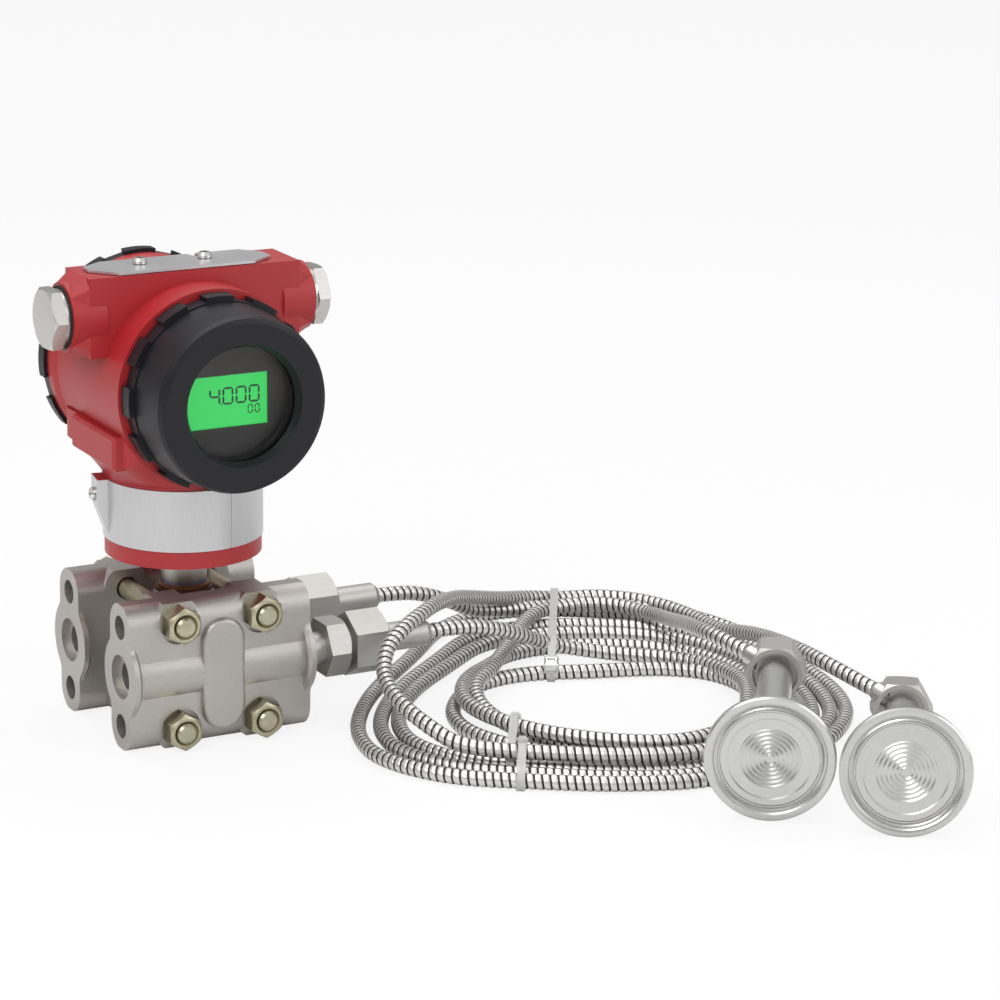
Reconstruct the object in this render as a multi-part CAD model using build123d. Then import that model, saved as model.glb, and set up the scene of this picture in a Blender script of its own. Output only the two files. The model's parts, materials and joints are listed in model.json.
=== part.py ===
from build123d import *
import math
import os

# Differential pressure transmitter with two remote clamp seals on armoured hoses.
# The model is laid out about the neck axis (x = y = 0) and the process port plane (z = 0),
# with the display towards -Y and the hoses leaving towards +X. It is written out moved by
# SHIFT_X, so that the origin is the centre of the manifold bolt pattern on the flange ends.

os.makedirs("parts", exist_ok=True)

# Process flanges, one each side of the sensor module
PORT_Y = 27.0
FLANGE_HALF = 39.5
FLANGE_INNER_Y = 17.0
FLANGE_THICK = 20.0
BASE_Z = -30.2
BOLT_SPACING_Z = 41.3
EYE_R = 16.5
EYE_LENGTH = 3.2
BAND_R = 12.5
END_HOLE_R = {-1: 4.95, 1: 5.5}
END_HOLE_DEPTH = 15.5
PORT_THREAD_R = 5.6
PORT_DEPTH = 16.0
PORT_FACE_R = 9.0
PORT_FACE_DEPTH = 3.0
CHANNEL_R = 3.0
CROSS_CHANNEL_R = 2.2
PAD_WIDTH = 18.5
PAD_HEIGHT = 46.5
PAD_FRONT_Y = 39.9
PAD_ROOT_Y = 22.0
SHIFT_X = FLANGE_HALF

# Flange bolts, M8
BOLT_X = 17.8
BOLT_Z = 22.2
BOLT_R = 4.1
BOLT_HOLE_R = 4.7
BOLT_END_Y = 44.2
NUT_FLATS = 13.4
NUT_SEAT_Y = 34.5
NUT_HEIGHT = 8.4
HEAD_HEIGHT = 5.6
BOSS_R = 10.0
SPOTFACE_R = 8.6

# Sensor module and neck
MODULE_R = 23.0
NECK_R = 9.5
NECK_TOP = 56.0
GASKET_R = 19.0
DIAPHRAGM_R = 15.0

# Adapters, union nuts and hose stubs on the +X ends
NIPPLE_START = 27.5
NIPPLE_HEX_START = 48.5
NIPPLE_HEX_END = 58.0
NIPPLE_FLATS = 22.0
UNION_START = 60.0
UNION_END = {"front": 75.4, "rear": 78.5}
UNION_FLATS = 24.0
STUB_END = {"front": 98.0, "rear": 101.0}
STUB_R = 6.0
HOSE_R = 3.25

# Electronics housing
SKIRT_R = 31.9
SKIRT_BOTTOM = 41.8
SKIRT_TOP = 75.0
SHOULDER_Z = 86.0
NECK_BORE_R = 9.8
BARREL_Z = 114.8
BARREL_R = 40.5
BARREL_FRONT = -31.0
BARREL_REAR = 40.0
REAR_FLANGE_R = 41.8
REAR_FLANGE_Y = 35.5
MOUTH_R = 36.3
MOUTH_DEPTH = 10.0
CAVITY_R = 33.0
WALL_FRONT = -12.0
WALL_REAR = -6.0
ROOF_Y = -2.5
ROOF_HALF_Y = 12.7
ROOF_HALF_X = 45.0
ROOF_TOP = 160.0
ROOF_BOTTOM = 128.0
CONDUIT_Z = 143.0
CONDUIT_BOSS_R = 14.0
CONDUIT_BOSS_X = 52.0
CONDUIT_R = 9.5
CONDUIT_THREAD_X = 38.0
PLUG_FLATS = 23.0
PLUG_FACE_X = 59.5
PLUG_COLLAR_R = 11.6
PLUG_COLLAR = 2.2

# Nameplate band round the skirt
BAND_BOTTOM = 49.0
BAND_TOP = 74.0
BAND_INNER_R = 32.0
BAND_OUTER_R = 32.5
NAME_SCREW_TURN = 169.0
NAME_SCREW_Z = 67.0
NAME_BOSS_R = 35.8
NAME_BOSS_WIDTH = 11.0

# Covers
LUG_COUNT = 12
LUG_R = 39.3
RING_R = 37.3
WINDOW_R = 22.9
GLASS_R = 25.5
REAR_LUG_R = 43.4
REAR_RING_R = 41.6

# Display behind the window
BEZEL_R = 29.5
BEZEL_FRONT = -48.6
BEZEL_BACK = -44.6
LCD_FRONT = -47.6
LCD_BACK = -45.0
LCD_LEFT = -21.5
LCD_RIGHT = 18.0

# Tag plate and adjustment buttons on the roof
TAG_SCREW_X = (-18.0, 10.0)
TAG_SCREW_Y = -1.0
TAG_LEFT = -41.0
TAG_RIGHT = 36.0
TAG_FRONT = -14.5
TAG_BACK = 9.0
TAG_BOTTOM = 160.3
TAG_THICK = 1.0
BUTTON_X = {"span": -34.0, "zero": 24.0}
BUTTON_R = 2.2
BUTTON_LENGTH = 6.0
BUTTON_TOP = 159.7

# Remote seals: centre of the disc face, tilt of the stem above level in degrees
SEAL_R = 25.25
STEM_R = 7.0
SEAL_LENGTH = 92.0
HEX_LENGTH = 15.0
HEX_FLATS = 22.0
SEAL_DIR = (0.557, 0.829)
SEALS = {"left": (148.8, -212.4, 2.2), "right": (187.1, -247.3, -4.4)}
DIAPHRAGM_WAVES = 6
WAVE_START = 1.6
WAVE_PITCH = 1.75
WAVE_HEIGHT = 0.22
FERRULE_DIR = (-0.25, 0.95, 0.18)
FERRULE_R = 4.2
FERRULE_LENGTH = 7.5

# Hose coil on the floor, seen from above
COIL_TOP = -14.2
COIL_OUTER = [
    (38, -85), (45, -62), (62, -41), (86, -16), (110, 12), (126, 46), (150, 70), (181, 78),
    (215, 64), (245, 40), (262, 10), (266, -25), (263, -62), (257, -102), (240, -138),
    (200, -168), (150, -178), (113, -171), (78, -152), (52, -125),
]
COIL_INNER = [
    (112, -62), (126, -46), (150, -41), (182, -51), (211, -66), (214, -82),
    (204, -107), (181, -129), (155, -132), (130, -119), (110, -92),
]
TIE_WIDTH = 4.8
TIE_THICK = 1.2
TIES = {
    "back": ((212, 66), (143, -53)),
    "inner": ((88, -119), (110, -83)),
    "outer": ((74, -152), (90, -125)),
}

# Hose routes where they are not coiled, from the stubs, over the coil and to the seals
ROUTE_FRONT = [(98, -27, 0), (113, -27, 0), (129, -25, -3.2), (145, -20, -9.2), (160, -13, -17.5)]
ROUTE_REAR = [(101, 27, 0), (115, 27, 0), (129, 28.5, -4), (142, 32, -10), (155, 37, -17.5)]
ROUTE_LOOP = [
    (166, 33, -18), (148, 20, -8.5), (127, 2, 1.6), (109, -17, 8.2), (97, -29, 10.2), (80, -42, 8.8),
    (67, -50, 3.4), (59.5, -63, -4.6), (57.5, -82, -8.6), (60.5, -99, -12.8), (68, -115, -18.5),
]
ROUTE_LEFT = [
    (195.5, -122.2, 4.6), (190, -101.3, 8.5), (188, -84, 7.6), (189, -67, 3), (193, -50, -4.4),
    (199, -34, -12), (206, -20, -19),
]
ROUTE_RIGHT = [
    (234.0, -158.2, -6.2), (228, -135.6, -1.9), (228.5, -115, -2), (232, -93, -4.8), (237, -71, -9),
    (240, -50, -13.5), (241, -30, -19),
]


def cyl_y(radius, y0, y1, x=0.0, z=0.0):
    return Pos(x, (y0 + y1) / 2, z) * Rot(90, 0, 0) * Cylinder(radius, abs(y1 - y0))


def cyl_x(radius, x0, x1, y=0.0, z=0.0):
    return Pos((x0 + x1) / 2, y, z) * Rot(0, 90, 0) * Cylinder(radius, abs(x1 - x0))


def cyl_z(radius, z0, z1, x=0.0, y=0.0):
    return Pos(x, y, (z0 + z1) / 2) * Cylinder(radius, abs(z1 - z0))


def block(x0, x1, y0, y1, z0, z1):
    return Pos((x0 + x1) / 2, (y0 + y1) / 2, (z0 + z1) / 2) * Box(x1 - x0, y1 - y0, z1 - z0)


def hex_prism(flats, length):
    """A hexagon bar along +Z from z = 0, flats at +X and -X, its free end's corners turned off."""
    bar = extrude(RegularPolygon(flats / 2, 6, major_radius=False, rotation=30), length)
    corner = flats / math.sqrt(3)
    turned = [(0, -1), (corner + 1, -1), (corner + 1, length - 1.9), (corner - 1.6, length), (0, length)]
    return bar & spin_z(turned)


def spin_z(points):
    """Turned solid about Z from (radius, z) points."""
    return revolve(Plane.XZ * make_face(Polyline(*points, close=True)), Axis.Z)


def spin_y(points, z=0.0):
    """Turned solid about a line along Y from (radius, y) points."""
    return Pos(0, 0, z) * revolve(make_face(Polyline(*points, close=True)), Axis.Y)


def spin_x(points, y=0.0, z=0.0):
    """Turned solid about a line along X from (x, radius) points."""
    return Pos(0, y, z) * revolve(make_face(Polyline(*points, close=True)), Axis.X)


def save(name, *solids):
    """Write one node, moved from the neck axis to the manifold face."""
    shape = solids[0] if len(solids) == 1 else Compound(children=list(solids))
    export_step(Pos(SHIFT_X, 0, 0) * shape, f"parts/{name}.step")


def unit(vector):
    size = math.sqrt(sum(v * v for v in vector))
    return tuple(v / size for v in vector)


# Process flange, port end face outline with a round eye, cast band and bolt bosses
def flange():
    outline = SlotCenterToCenter(BOLT_SPACING_Z, FLANGE_THICK, rotation=90)
    bar = Plane.YZ * Pos(-PORT_Y, 0) * outline
    body = Pos(-FLANGE_HALF, 0, 0) * extrude(bar, 2 * FLANGE_HALF, dir=(1, 0, 0))
    body += cyl_x(BAND_R, -FLANGE_HALF, FLANGE_HALF, -PORT_Y)
    eye_outline = outline + Circle(EYE_R)
    inner_corners = eye_outline.vertices().group_by(SortBy.DISTANCE)[0]
    eye_outline = fillet(inner_corners, 5.0)
    for side in (-1, 1):
        plate = Plane.YZ * Pos(-PORT_Y, 0) * eye_outline
        plate = Pos(side * FLANGE_HALF, 0, 0) * extrude(plate, EYE_LENGTH, dir=(-side, 0, 0))
        body += chamfer(plate.faces().sort_by(Axis.X)[0 if side > 0 else -1].edges(), 1.2)
    for x in (-BOLT_X, BOLT_X):
        for z in (-BOLT_Z, BOLT_Z):
            body += cyl_y(BOSS_R, -NUT_SEAT_Y, -FLANGE_INNER_Y, x, z)
    bay = FLANGE_HALF - EYE_LENGTH - 0.5
    body -= block(-bay, bay, -FLANGE_INNER_Y, 0, -40, 40)
    pad = Plane.XZ * Pos(0.5, -0.9) * SlotOverall(PAD_HEIGHT, PAD_WIDTH, rotation=90)
    pad_solid = Pos(0, -PAD_ROOT_Y, 0) * extrude(pad, PAD_FRONT_Y - PAD_ROOT_Y, dir=(0, -1, 0))
    rim = pad_solid.faces().sort_by(Axis.Y)[0].edges()
    body += fillet(rim, 2.0)
    body &= block(-50, 50, -60, 0, BASE_Z, -BASE_Z)
    for x in (-BOLT_X, BOLT_X):
        for z in (-BOLT_Z, BOLT_Z):
            body -= cyl_y(SPOTFACE_R, -60, -NUT_SEAT_Y, x, z)
            body -= cyl_y(BOLT_HOLE_R, -60, 0, x, z)
    for side in (-1, 1):
        end = side * FLANGE_HALF
        for z in (-BOLT_SPACING_Z / 2, BOLT_SPACING_Z / 2):
            body -= cyl_x(END_HOLE_R[side], end - side * END_HOLE_DEPTH, end, -PORT_Y, z)
        body -= cyl_x(PORT_THREAD_R, end - side * (PORT_FACE_DEPTH + PORT_DEPTH), end, -PORT_Y)
        body -= cyl_x(PORT_FACE_R, end - side * PORT_FACE_DEPTH, end, -PORT_Y)
    body -= cyl_x(CHANNEL_R, -FLANGE_HALF, FLANGE_HALF, -PORT_Y)
    body -= cyl_y(CROSS_CHANNEL_R, -PORT_Y, -FLANGE_INNER_Y)
    body -= cyl_y(DIAPHRAGM_R + 0.5, -FLANGE_INNER_Y - 1.0, -FLANGE_INNER_Y)
    groove = cyl_y(GASKET_R + 1.5, -FLANGE_INNER_Y - 1.6, -FLANGE_INNER_Y)
    groove -= cyl_y(GASKET_R - 1.5, -FLANGE_INNER_Y - 1.6, -FLANGE_INNER_Y)
    return body - groove


def gasket(side):
    y0, y1 = side * FLANGE_INNER_Y, side * (FLANGE_INNER_Y + 1.6)
    return cyl_y(GASKET_R + 1.4, y0, y1) - cyl_y(GASKET_R - 1.4, y0, y1)


front_flange = flange()
save("flange_front", front_flange)
save("flange_rear", mirror(front_flange, Plane.XZ))
save("flange_gasket_front", gasket(-1))
save("flange_gasket_rear", gasket(1))


# Flange bolts with their heads on the rear flange, nuts on the front one
def along_minus_y(shape, x, y, z):
    """Place a solid made along +Z so that it points along -Y from (x, y, z)."""
    return Pos(x, y, z) * Rot(90, 0, 0) * shape


def flange_bolt(x, z):
    shank = spin_z([(0, 0), (BOLT_R, 0), (BOLT_R, BOLT_END_Y + NUT_SEAT_Y - 0.9),
                    (BOLT_R - 0.7, BOLT_END_Y + NUT_SEAT_Y), (0, BOLT_END_Y + NUT_SEAT_Y)])
    head = Rot(180, 0, 0) * hex_prism(NUT_FLATS, HEAD_HEIGHT)
    return along_minus_y(shank + head, x, NUT_SEAT_Y, z)


def flange_nut(x, z):
    bore = BOLT_R + 0.1
    nut = hex_prism(NUT_FLATS, NUT_HEIGHT) - spin_z([
        (0, -1), (bore, -1), (bore, NUT_HEIGHT - 1.0), (bore + 1.0, NUT_HEIGHT), (0, NUT_HEIGHT),
    ])
    return along_minus_y(nut, x, -NUT_SEAT_Y, z)


bolt_places = [(x, z) for x in (-BOLT_X, BOLT_X) for z in (-BOLT_Z, BOLT_Z)]
save("flange_bolts", *[flange_bolt(x, z) for x, z in bolt_places])
save("flange_nuts", *[flange_nut(x, z) for x, z in bolt_places])


# Sensor module, its two isolating diaphragms, the neck tube and its ring seal
module = cyl_y(MODULE_R, -FLANGE_INNER_Y, FLANGE_INNER_Y)
module += cyl_z(12.5, 10, 25.0)
module = chamfer(module.faces().sort_by(Axis.Z)[-1].edges(), 1.5)
for side in (-1, 1):
    module -= cyl_y(DIAPHRAGM_R + 0.2, side * (FLANGE_INNER_Y - 0.8), side * FLANGE_INNER_Y)
    module -= cyl_y(1.0, side * 6, side * FLANGE_INNER_Y)
module -= cyl_z(6.0, 14, 40)
save("sensor_module", module)


def isolating_diaphragm(side):
    points = [(0, 0), (0, 0.3)]
    for ring in range(1, 7):
        points.append((ring * 2.2 - 0.8, 0.3 + 0.25 * (ring % 2)))
    points += [(DIAPHRAGM_R, 0.3), (DIAPHRAGM_R, 0)]
    disc = spin_y(points)
    return Pos(0, side * (FLANGE_INNER_Y - 0.8), 0) * (disc if side > 0 else mirror(disc, Plane.XZ))


save("isolating_diaphragms", isolating_diaphragm(-1), isolating_diaphragm(1))
neck = spin_z([
    (5.5, 25), (11.8, 25), (11.8, 26.0), (10.3, 26.2), (10.3, 27.4), (NECK_R, 28.0), (NECK_R, 48.0),
    (8.1, 48.0), (8.1, 50.6), (NECK_R, 50.6), (NECK_R, NECK_TOP - 1), (NECK_R - 1, NECK_TOP), (5.5, NECK_TOP),
])
save("neck_tube", neck)
save("neck_seal", Pos(0, 0, 49.3) * Torus(8.95, 0.8))


# Port adapters, union nuts and the stubs that end the hoses
def adapter(y):
    body = spin_x([
        (NIPPLE_START, CHANNEL_R), (NIPPLE_START, PORT_THREAD_R - 0.7), (NIPPLE_START + 0.8, PORT_THREAD_R - 0.1),
        (37.0, PORT_THREAD_R - 0.1), (37.0, 7.6), (41.6, 7.6), (41.6, 6.6), (NIPPLE_HEX_START, 6.6),
        (NIPPLE_HEX_START, 8.0), (68.0, 8.0), (69.0, 7.0), (69.0, CHANNEL_R),
    ], y)
    bar = hex_prism(NIPPLE_FLATS, NIPPLE_HEX_END - NIPPLE_HEX_START)
    bar = Pos(NIPPLE_HEX_START, y, 0) * Rot(0, 90, 0) * bar
    bar -= cyl_x(7.0, NIPPLE_HEX_START - 1, NIPPLE_HEX_END + 1, y)
    return body + bar


def union_nut(y, end):
    length = end - UNION_START
    nut = Pos(UNION_START, y, 0) * Rot(0, 90, 0) * Rot(0, 0, 90) * hex_prism(UNION_FLATS, length)
    nut -= cyl_x(8.3, UNION_START - 1, 72.4, y)
    return nut - cyl_x(STUB_R + 0.2, 70, end + 1, y)


def stub(y, end):
    return spin_x([
        (69.2, 0), (69.2, 7.9), (72.2, 7.9), (72.2, STUB_R), (end - 2.0, STUB_R),
        (end, STUB_R - 1.6), (end, 0),
    ], y)


for name, y in (("front", -PORT_Y), ("rear", PORT_Y)):
    save(f"adapter_{name}", adapter(y))
    save(f"union_nut_{name}", union_nut(y, UNION_END[name]))
    save(f"capillary_stub_{name}", stub(y, STUB_END[name]))


# Housing casting: barrel with two threaded mouths, skirt, roof with conduit bosses
def roof_end(side):
    """Faceted end of the roof that tapers from its rectangle to the round conduit boss."""
    half_y = ROOF_HALF_Y
    middle_z = (ROOF_TOP + ROOF_BOTTOM) / 2
    inner = Plane(origin=(side * ROOF_HALF_X, ROOF_Y, middle_z), x_dir=(0, 1, 0), z_dir=(1, 0, 0))
    tip_x = side * (CONDUIT_BOSS_X - 0.5)
    outer = Plane(origin=(tip_x, ROOF_Y, CONDUIT_Z), x_dir=(0, 1, 0), z_dir=(1, 0, 0))
    cut = 4.0
    half_z = (ROOF_TOP - ROOF_BOTTOM) / 2
    corners = [
        (half_y - cut, -half_z), (half_y, cut - half_z), (half_y, half_z - cut), (half_y - cut, half_z),
    ]
    ring = corners + [(-a, -b) for a, b in corners]
    tips = []
    for a, b in ring:
        size = math.hypot(a, b)
        tips.append((a / size * CONDUIT_BOSS_R, b / size * CONDUIT_BOSS_R))
    big = inner * make_face(Polyline(*ring, close=True))
    small = outer * make_face(Polyline(*tips, close=True))
    return loft([big, small], ruled=True)


def plate_boss(grow):
    """Wedge on the skirt that the nameplate's end is screwed to, sloping down into the skirt."""
    outline = Polyline(
        (30, 50), (BAND_INNER_R - 0.1 + grow, 52), (NAME_BOSS_R + grow, 63),
        (NAME_BOSS_R + grow, BAND_TOP), (30, BAND_TOP), close=True,
    )
    width = NAME_BOSS_WIDTH + 2 * grow
    wedge = extrude(Plane.XZ * make_face(outline), width / 2, both=True)
    return Rot(0, 0, NAME_SCREW_TURN) * wedge


def housing():
    body = spin_y([
        (0, BARREL_FRONT), (BARREL_R, BARREL_FRONT), (BARREL_R, REAR_FLANGE_Y - 3),
        (REAR_FLANGE_R, REAR_FLANGE_Y), (REAR_FLANGE_R, BARREL_REAR), (0, BARREL_REAR),
    ], BARREL_Z)
    body += cyl_z(SKIRT_R, SKIRT_BOTTOM, SKIRT_TOP)
    waist = Plane.XY.offset(SKIRT_TOP) * Circle(SKIRT_R)
    shoulder_outline = Pos(0, 3) * RectangleRounded(2 * 38.0, 67, 9)
    shoulder = Plane.XY.offset(SHOULDER_Z) * shoulder_outline
    flare = loft([waist, shoulder]) + extrude(shoulder, 98 - SHOULDER_Z)
    body += flare & block(-50, 50, BARREL_FRONT + 0.4, 50, SKIRT_TOP - 1, 99)
    roof_front, roof_back = ROOF_Y - ROOF_HALF_Y, ROOF_Y + ROOF_HALF_Y
    body += block(-ROOF_HALF_X, ROOF_HALF_X, roof_front, roof_back, ROOF_BOTTOM, ROOF_TOP)
    lug = block(-40.8, -20, -26, 18, 84.5, 98)
    body += chamfer(lug.faces().sort_by(Axis.X)[0].edges(), 1.2)
    body += plate_boss(0)
    for side in (-1, 1):
        body += roof_end(side)
        body += cyl_x(CONDUIT_BOSS_R, side * 38, side * CONDUIT_BOSS_X, ROOF_Y, CONDUIT_Z)
    body -= cyl_y(MOUTH_R, BARREL_FRONT, BARREL_FRONT + MOUTH_DEPTH, 0, BARREL_Z)
    body -= cyl_y(CAVITY_R, BARREL_FRONT, WALL_FRONT, 0, BARREL_Z)
    body -= cyl_y(CAVITY_R, WALL_REAR, BARREL_REAR, 0, BARREL_Z)
    body -= cyl_y(MOUTH_R, BARREL_REAR - MOUTH_DEPTH, BARREL_REAR, 0, BARREL_Z)
    for side in (-1, 1):
        body -= cyl_x(CONDUIT_R, side * CONDUIT_THREAD_X, side * 60, ROOF_Y, CONDUIT_Z)
        body -= cyl_x(7.0, side * 9, side * 40, ROOF_Y, CONDUIT_Z)
    body -= cyl_z(NECK_BORE_R, SKIRT_BOTTOM - 1, NECK_TOP + 0.6)
    body -= block(-6, 6, -21, 6, NECK_TOP + 0.5, 66)
    body -= cyl_z(5.0, 64, 90, 0, -18)
    for x in TAG_SCREW_X:
        body -= cyl_z(1.6, 148, ROOF_TOP + 1, x, TAG_SCREW_Y)
    for x in BUTTON_X.values():
        body -= cyl_z(BUTTON_R + 0.3, BUTTON_TOP - BUTTON_LENGTH - 2.2, ROOF_TOP + 1, x, TAG_SCREW_Y)
    body -= cyl_y(2.1, 0, 40, 0, 45.4)
    body -= Pos(0, 0, NAME_SCREW_Z) * Rot(0, 0, NAME_SCREW_TURN) * cyl_x(1.6, 26, 40)
    body -= cyl_y(1.6, WALL_REAR - 4, WALL_REAR + 1, -19, 97)
    return body


save("housing_casting", housing())


# Conduit plugs with their seal rings
def conduit_plug(side):
    hex_start = CONDUIT_BOSS_X + PLUG_COLLAR
    plug = cyl_x(CONDUIT_R - 0.3, side * 40, side * (hex_start + 0.2), ROOF_Y, CONDUIT_Z)
    plug += cyl_x(PLUG_COLLAR_R, side * (CONDUIT_BOSS_X + 0.8), side * hex_start, ROOF_Y, CONDUIT_Z)
    turn = 90 if side > 0 else -90
    bar = hex_prism(PLUG_FLATS, PLUG_FACE_X - hex_start)
    return plug + Pos(side * hex_start, ROOF_Y, CONDUIT_Z) * Rot(0, turn, 0) * bar


def conduit_seal(side):
    outer = cyl_x(12.6, side * CONDUIT_BOSS_X, side * (CONDUIT_BOSS_X + 0.8), ROOF_Y, CONDUIT_Z)
    return outer - cyl_x(CONDUIT_R, side * 50, side * 54, ROOF_Y, CONDUIT_Z)


save("conduit_plug_left", conduit_plug(-1))
save("conduit_plug_right", conduit_plug(1))
save("conduit_seals", conduit_seal(-1), conduit_seal(1))


# Nameplate band, open at its seam, and the screws on the skirt
def pan_screw(head_r, head_h, shank_r, length):
    """Pan head screw along +Z, head above z = 0, with a cross recess."""
    head = spin_z([
        (0, 0), (head_r, 0), (head_r, head_h * 0.45), (head_r * 0.72, head_h), (0, head_h),
    ])
    arm = head_r * 0.62
    slot = block(-arm, arm, -0.35, 0.35, head_h * 0.45, head_h + 1)
    head -= slot + Rot(0, 0, 90) * slot
    return head + cyl_z(shank_r, -length, 0.1)


band = cyl_z(BAND_OUTER_R, BAND_BOTTOM, BAND_TOP) - cyl_z(BAND_INNER_R, BAND_BOTTOM, BAND_TOP)
band = band - plate_boss(0.05) + (plate_boss(0.5) - plate_boss(0.05) - cyl_z(BAND_INNER_R, 40, 80))
band -= block(6.6, 7.4, -40, 0, 40, 80)
band -= Pos(0, 0, NAME_SCREW_Z) * Rot(0, 0, NAME_SCREW_TURN) * cyl_x(1.8, 24, 40)
save("nameplate_band", band)
screw_spot = Pos(0, 0, NAME_SCREW_Z) * Rot(0, 0, NAME_SCREW_TURN) * Pos(NAME_BOSS_R + 0.6, 0, 0)
save("nameplate_screw", screw_spot * Rot(0, 90, 0) * pan_screw(2.8, 1.9, 1.45, 8))
save("rotation_set_screw", cyl_y(1.95, 10.6, 22, 0, 45.4) - cyl_y(1.0, 20, 22, 0, 45.4))
ground = Pos(-19, WALL_REAR, 97) * Rot(-90, 0, 0) * pan_screw(3.4, 2.2, 1.45, 3.6)
save("ground_screw", ground)


# Display stack in the front compartment
def screw_posts():
    places = []
    for turn in (90, 210, 330):
        angle = math.radians(turn)
        places.append((27.0 * math.cos(angle), BARREL_Z + 27.0 * math.sin(angle)))
    return places


bezel = cyl_y(BEZEL_R, BEZEL_FRONT, BEZEL_BACK, 0, BARREL_Z)
bezel -= block(LCD_LEFT + 1.5, LCD_RIGHT - 3, -60, BEZEL_BACK, BARREL_Z - 10.8, BARREL_Z + 10.2)
bezel -= block(LCD_LEFT - 0.2, LCD_RIGHT + 0.2, LCD_FRONT - 0.1, BEZEL_BACK, BARREL_Z - 14.2, BARREL_Z + 13.2)
save("display_bezel", bezel)
save("lcd_panel", block(LCD_LEFT, LCD_RIGHT, LCD_FRONT, LCD_BACK, BARREL_Z - 14, BARREL_Z + 13))
display_board = cyl_y(BEZEL_R, BEZEL_BACK, BEZEL_BACK + 1.6, 0, BARREL_Z)
electronics_board = cyl_y(30.5, -26.0, -24.4, 0, BARREL_Z)
electronics_board += block(-12, 12, -24.4, -21, BARREL_Z - 9, BARREL_Z + 7)
electronics_board += cyl_y(5.0, -24.4, -14.5, 17, BARREL_Z - 3)
electronics_board += block(-24, -17, -24.4, -17, BARREL_Z - 8, BARREL_Z + 8)
posts = []
for x, z in screw_posts():
    display_board -= cyl_y(1.6, -60, 0, x, z)
    electronics_board -= cyl_y(2.5, -60, 0, x, z)
    post = cyl_y(2.2, -43.0, WALL_FRONT, x, z)
    posts.append(post + cyl_y(1.4, BEZEL_BACK + 0.1, -42, x, z))
save("display_board", display_board)
save("electronics_board", electronics_board)
save("board_posts", *posts)


# Terminal block in the rear compartment
terminals = cyl_y(28.0, WALL_REAR, 7.0, 0, BARREL_Z - 2)
terminals &= block(-28, 28, -10, 10, BARREL_Z - 14, BARREL_Z + 8)
terminals = chamfer(terminals.faces().sort_by(Axis.Y)[-1].edges(), 1.0)
terminal_screws = []
for x in (-14, 0, 14):
    terminals -= block(x - 4.6, x + 4.6, 1.0, 20, BARREL_Z - 6, BARREL_Z + 20)
    terminals -= cyl_y(1.6, -4, 2, x, BARREL_Z)
    terminal_screws.append(Pos(x, 1.0, BARREL_Z) * Rot(-90, 0, 0) * pan_screw(3.6, 2.4, 1.5, 4.5))
save("terminal_block", terminals)
save("terminal_screws", *terminal_screws)


# Front cover: castellated ring, tapered shell, window ring and thread ridges on the skirt
def thread_ridges(start, step, count, crest, root):
    """Outline points of the ridges on a threaded skirt, as (radius, y)."""
    points = []
    for turn in range(count):
        y = start + turn * step
        points += [(root, y), (crest, y + step * 0.4), (crest, y + step * 0.6)]
    return points


def lugs(ring_r, lug_r, y0, y1):
    """Castellations: lugs left between pockets in a wide ring."""
    ring = cyl_y(lug_r, y0, y1, 0, BARREL_Z) - cyl_y(ring_r - 0.5, y0, y1, 0, BARREL_Z)
    width = 2 * math.pi * lug_r / LUG_COUNT * 0.42
    pocket = block(ring_r, lug_r + 5, y0 - 1, y1 + 1, -width / 2, width / 2)
    for index in range(LUG_COUNT):
        turn = 360 / LUG_COUNT * (index + 0.5)
        ring -= Pos(0, 0, BARREL_Z) * Rot(0, turn, 0) * pocket
    return ring


def front_cover():
    shell = spin_y([
        (31.5, -21.5), (31.5, -48.8), (GLASS_R + 0.3, -48.8), (GLASS_R + 0.3, -57.3),
        (WINDOW_R, -57.3), (WINDOW_R, -58.3), (24.5, -61.5), (32.9, -61.5), (34.6, -60.7),
        (35.5, -58.6), (36.8, -39.0), (RING_R, -39.0), (RING_R, -31.3), (36.0, -31.3), (33.9, -31.0),
        (33.9, -28.2),
    ] + thread_ridges(-28.2, 2.0, 3, 36.0, 35.0) + [(35.0, -22.2), (34.4, -21.5)], BARREL_Z)
    return shell + lugs(RING_R, LUG_R, -39.0, -31.3)


save("front_cover", front_cover())
save("front_cover_oring", Pos(0, -29.6, BARREL_Z) * Rot(90, 0, 0) * Torus(35.1, 1.1))
save("window_glass", cyl_y(GLASS_R, -57.3, -51.3, 0, BARREL_Z))
retainer = cyl_y(GLASS_R + 0.2, -51.3, -49.2, 0, BARREL_Z) - cyl_y(23.2, -52, -49, 0, BARREL_Z)
for turn in (0, 90, 180, 270):
    retainer -= Pos(0, 0, BARREL_Z) * Rot(0, turn, 0) * block(22, 25, -50.3, -49, -1.5, 1.5)
save("window_retainer", retainer)


# Rear cover: the same ring, a domed blank end
def rear_cover():
    shell = spin_y([
        (31.5, 30.5), (34.4, 30.5), (35.0, 31.2),
        (36.0, 32.2), (36.0, 32.6), (35.0, 33.2), (36.0, 34.2), (36.0, 34.6), (35.0, 35.2),
        (36.0, 36.2), (36.0, 36.6), (35.0, 37.2), (33.9, 37.2), (33.9, 40.0), (36.0, 40.3),
        (REAR_RING_R, 40.3), (REAR_RING_R, 46.0), (40.4, 46.0), (39.0, 51.6), (36.6, 53.6),
        (33.5, 54.2), (0, 54.2), (0, 50.0), (30.0, 50.0), (31.5, 48.5),
    ], BARREL_Z)
    return shell + lugs(REAR_RING_R, REAR_LUG_R, 40.3, 46.0)


save("rear_cover", rear_cover())
save("rear_cover_oring", Pos(0, 38.6, BARREL_Z) * Rot(90, 0, 0) * Torus(35.1, 1.1))


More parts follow.
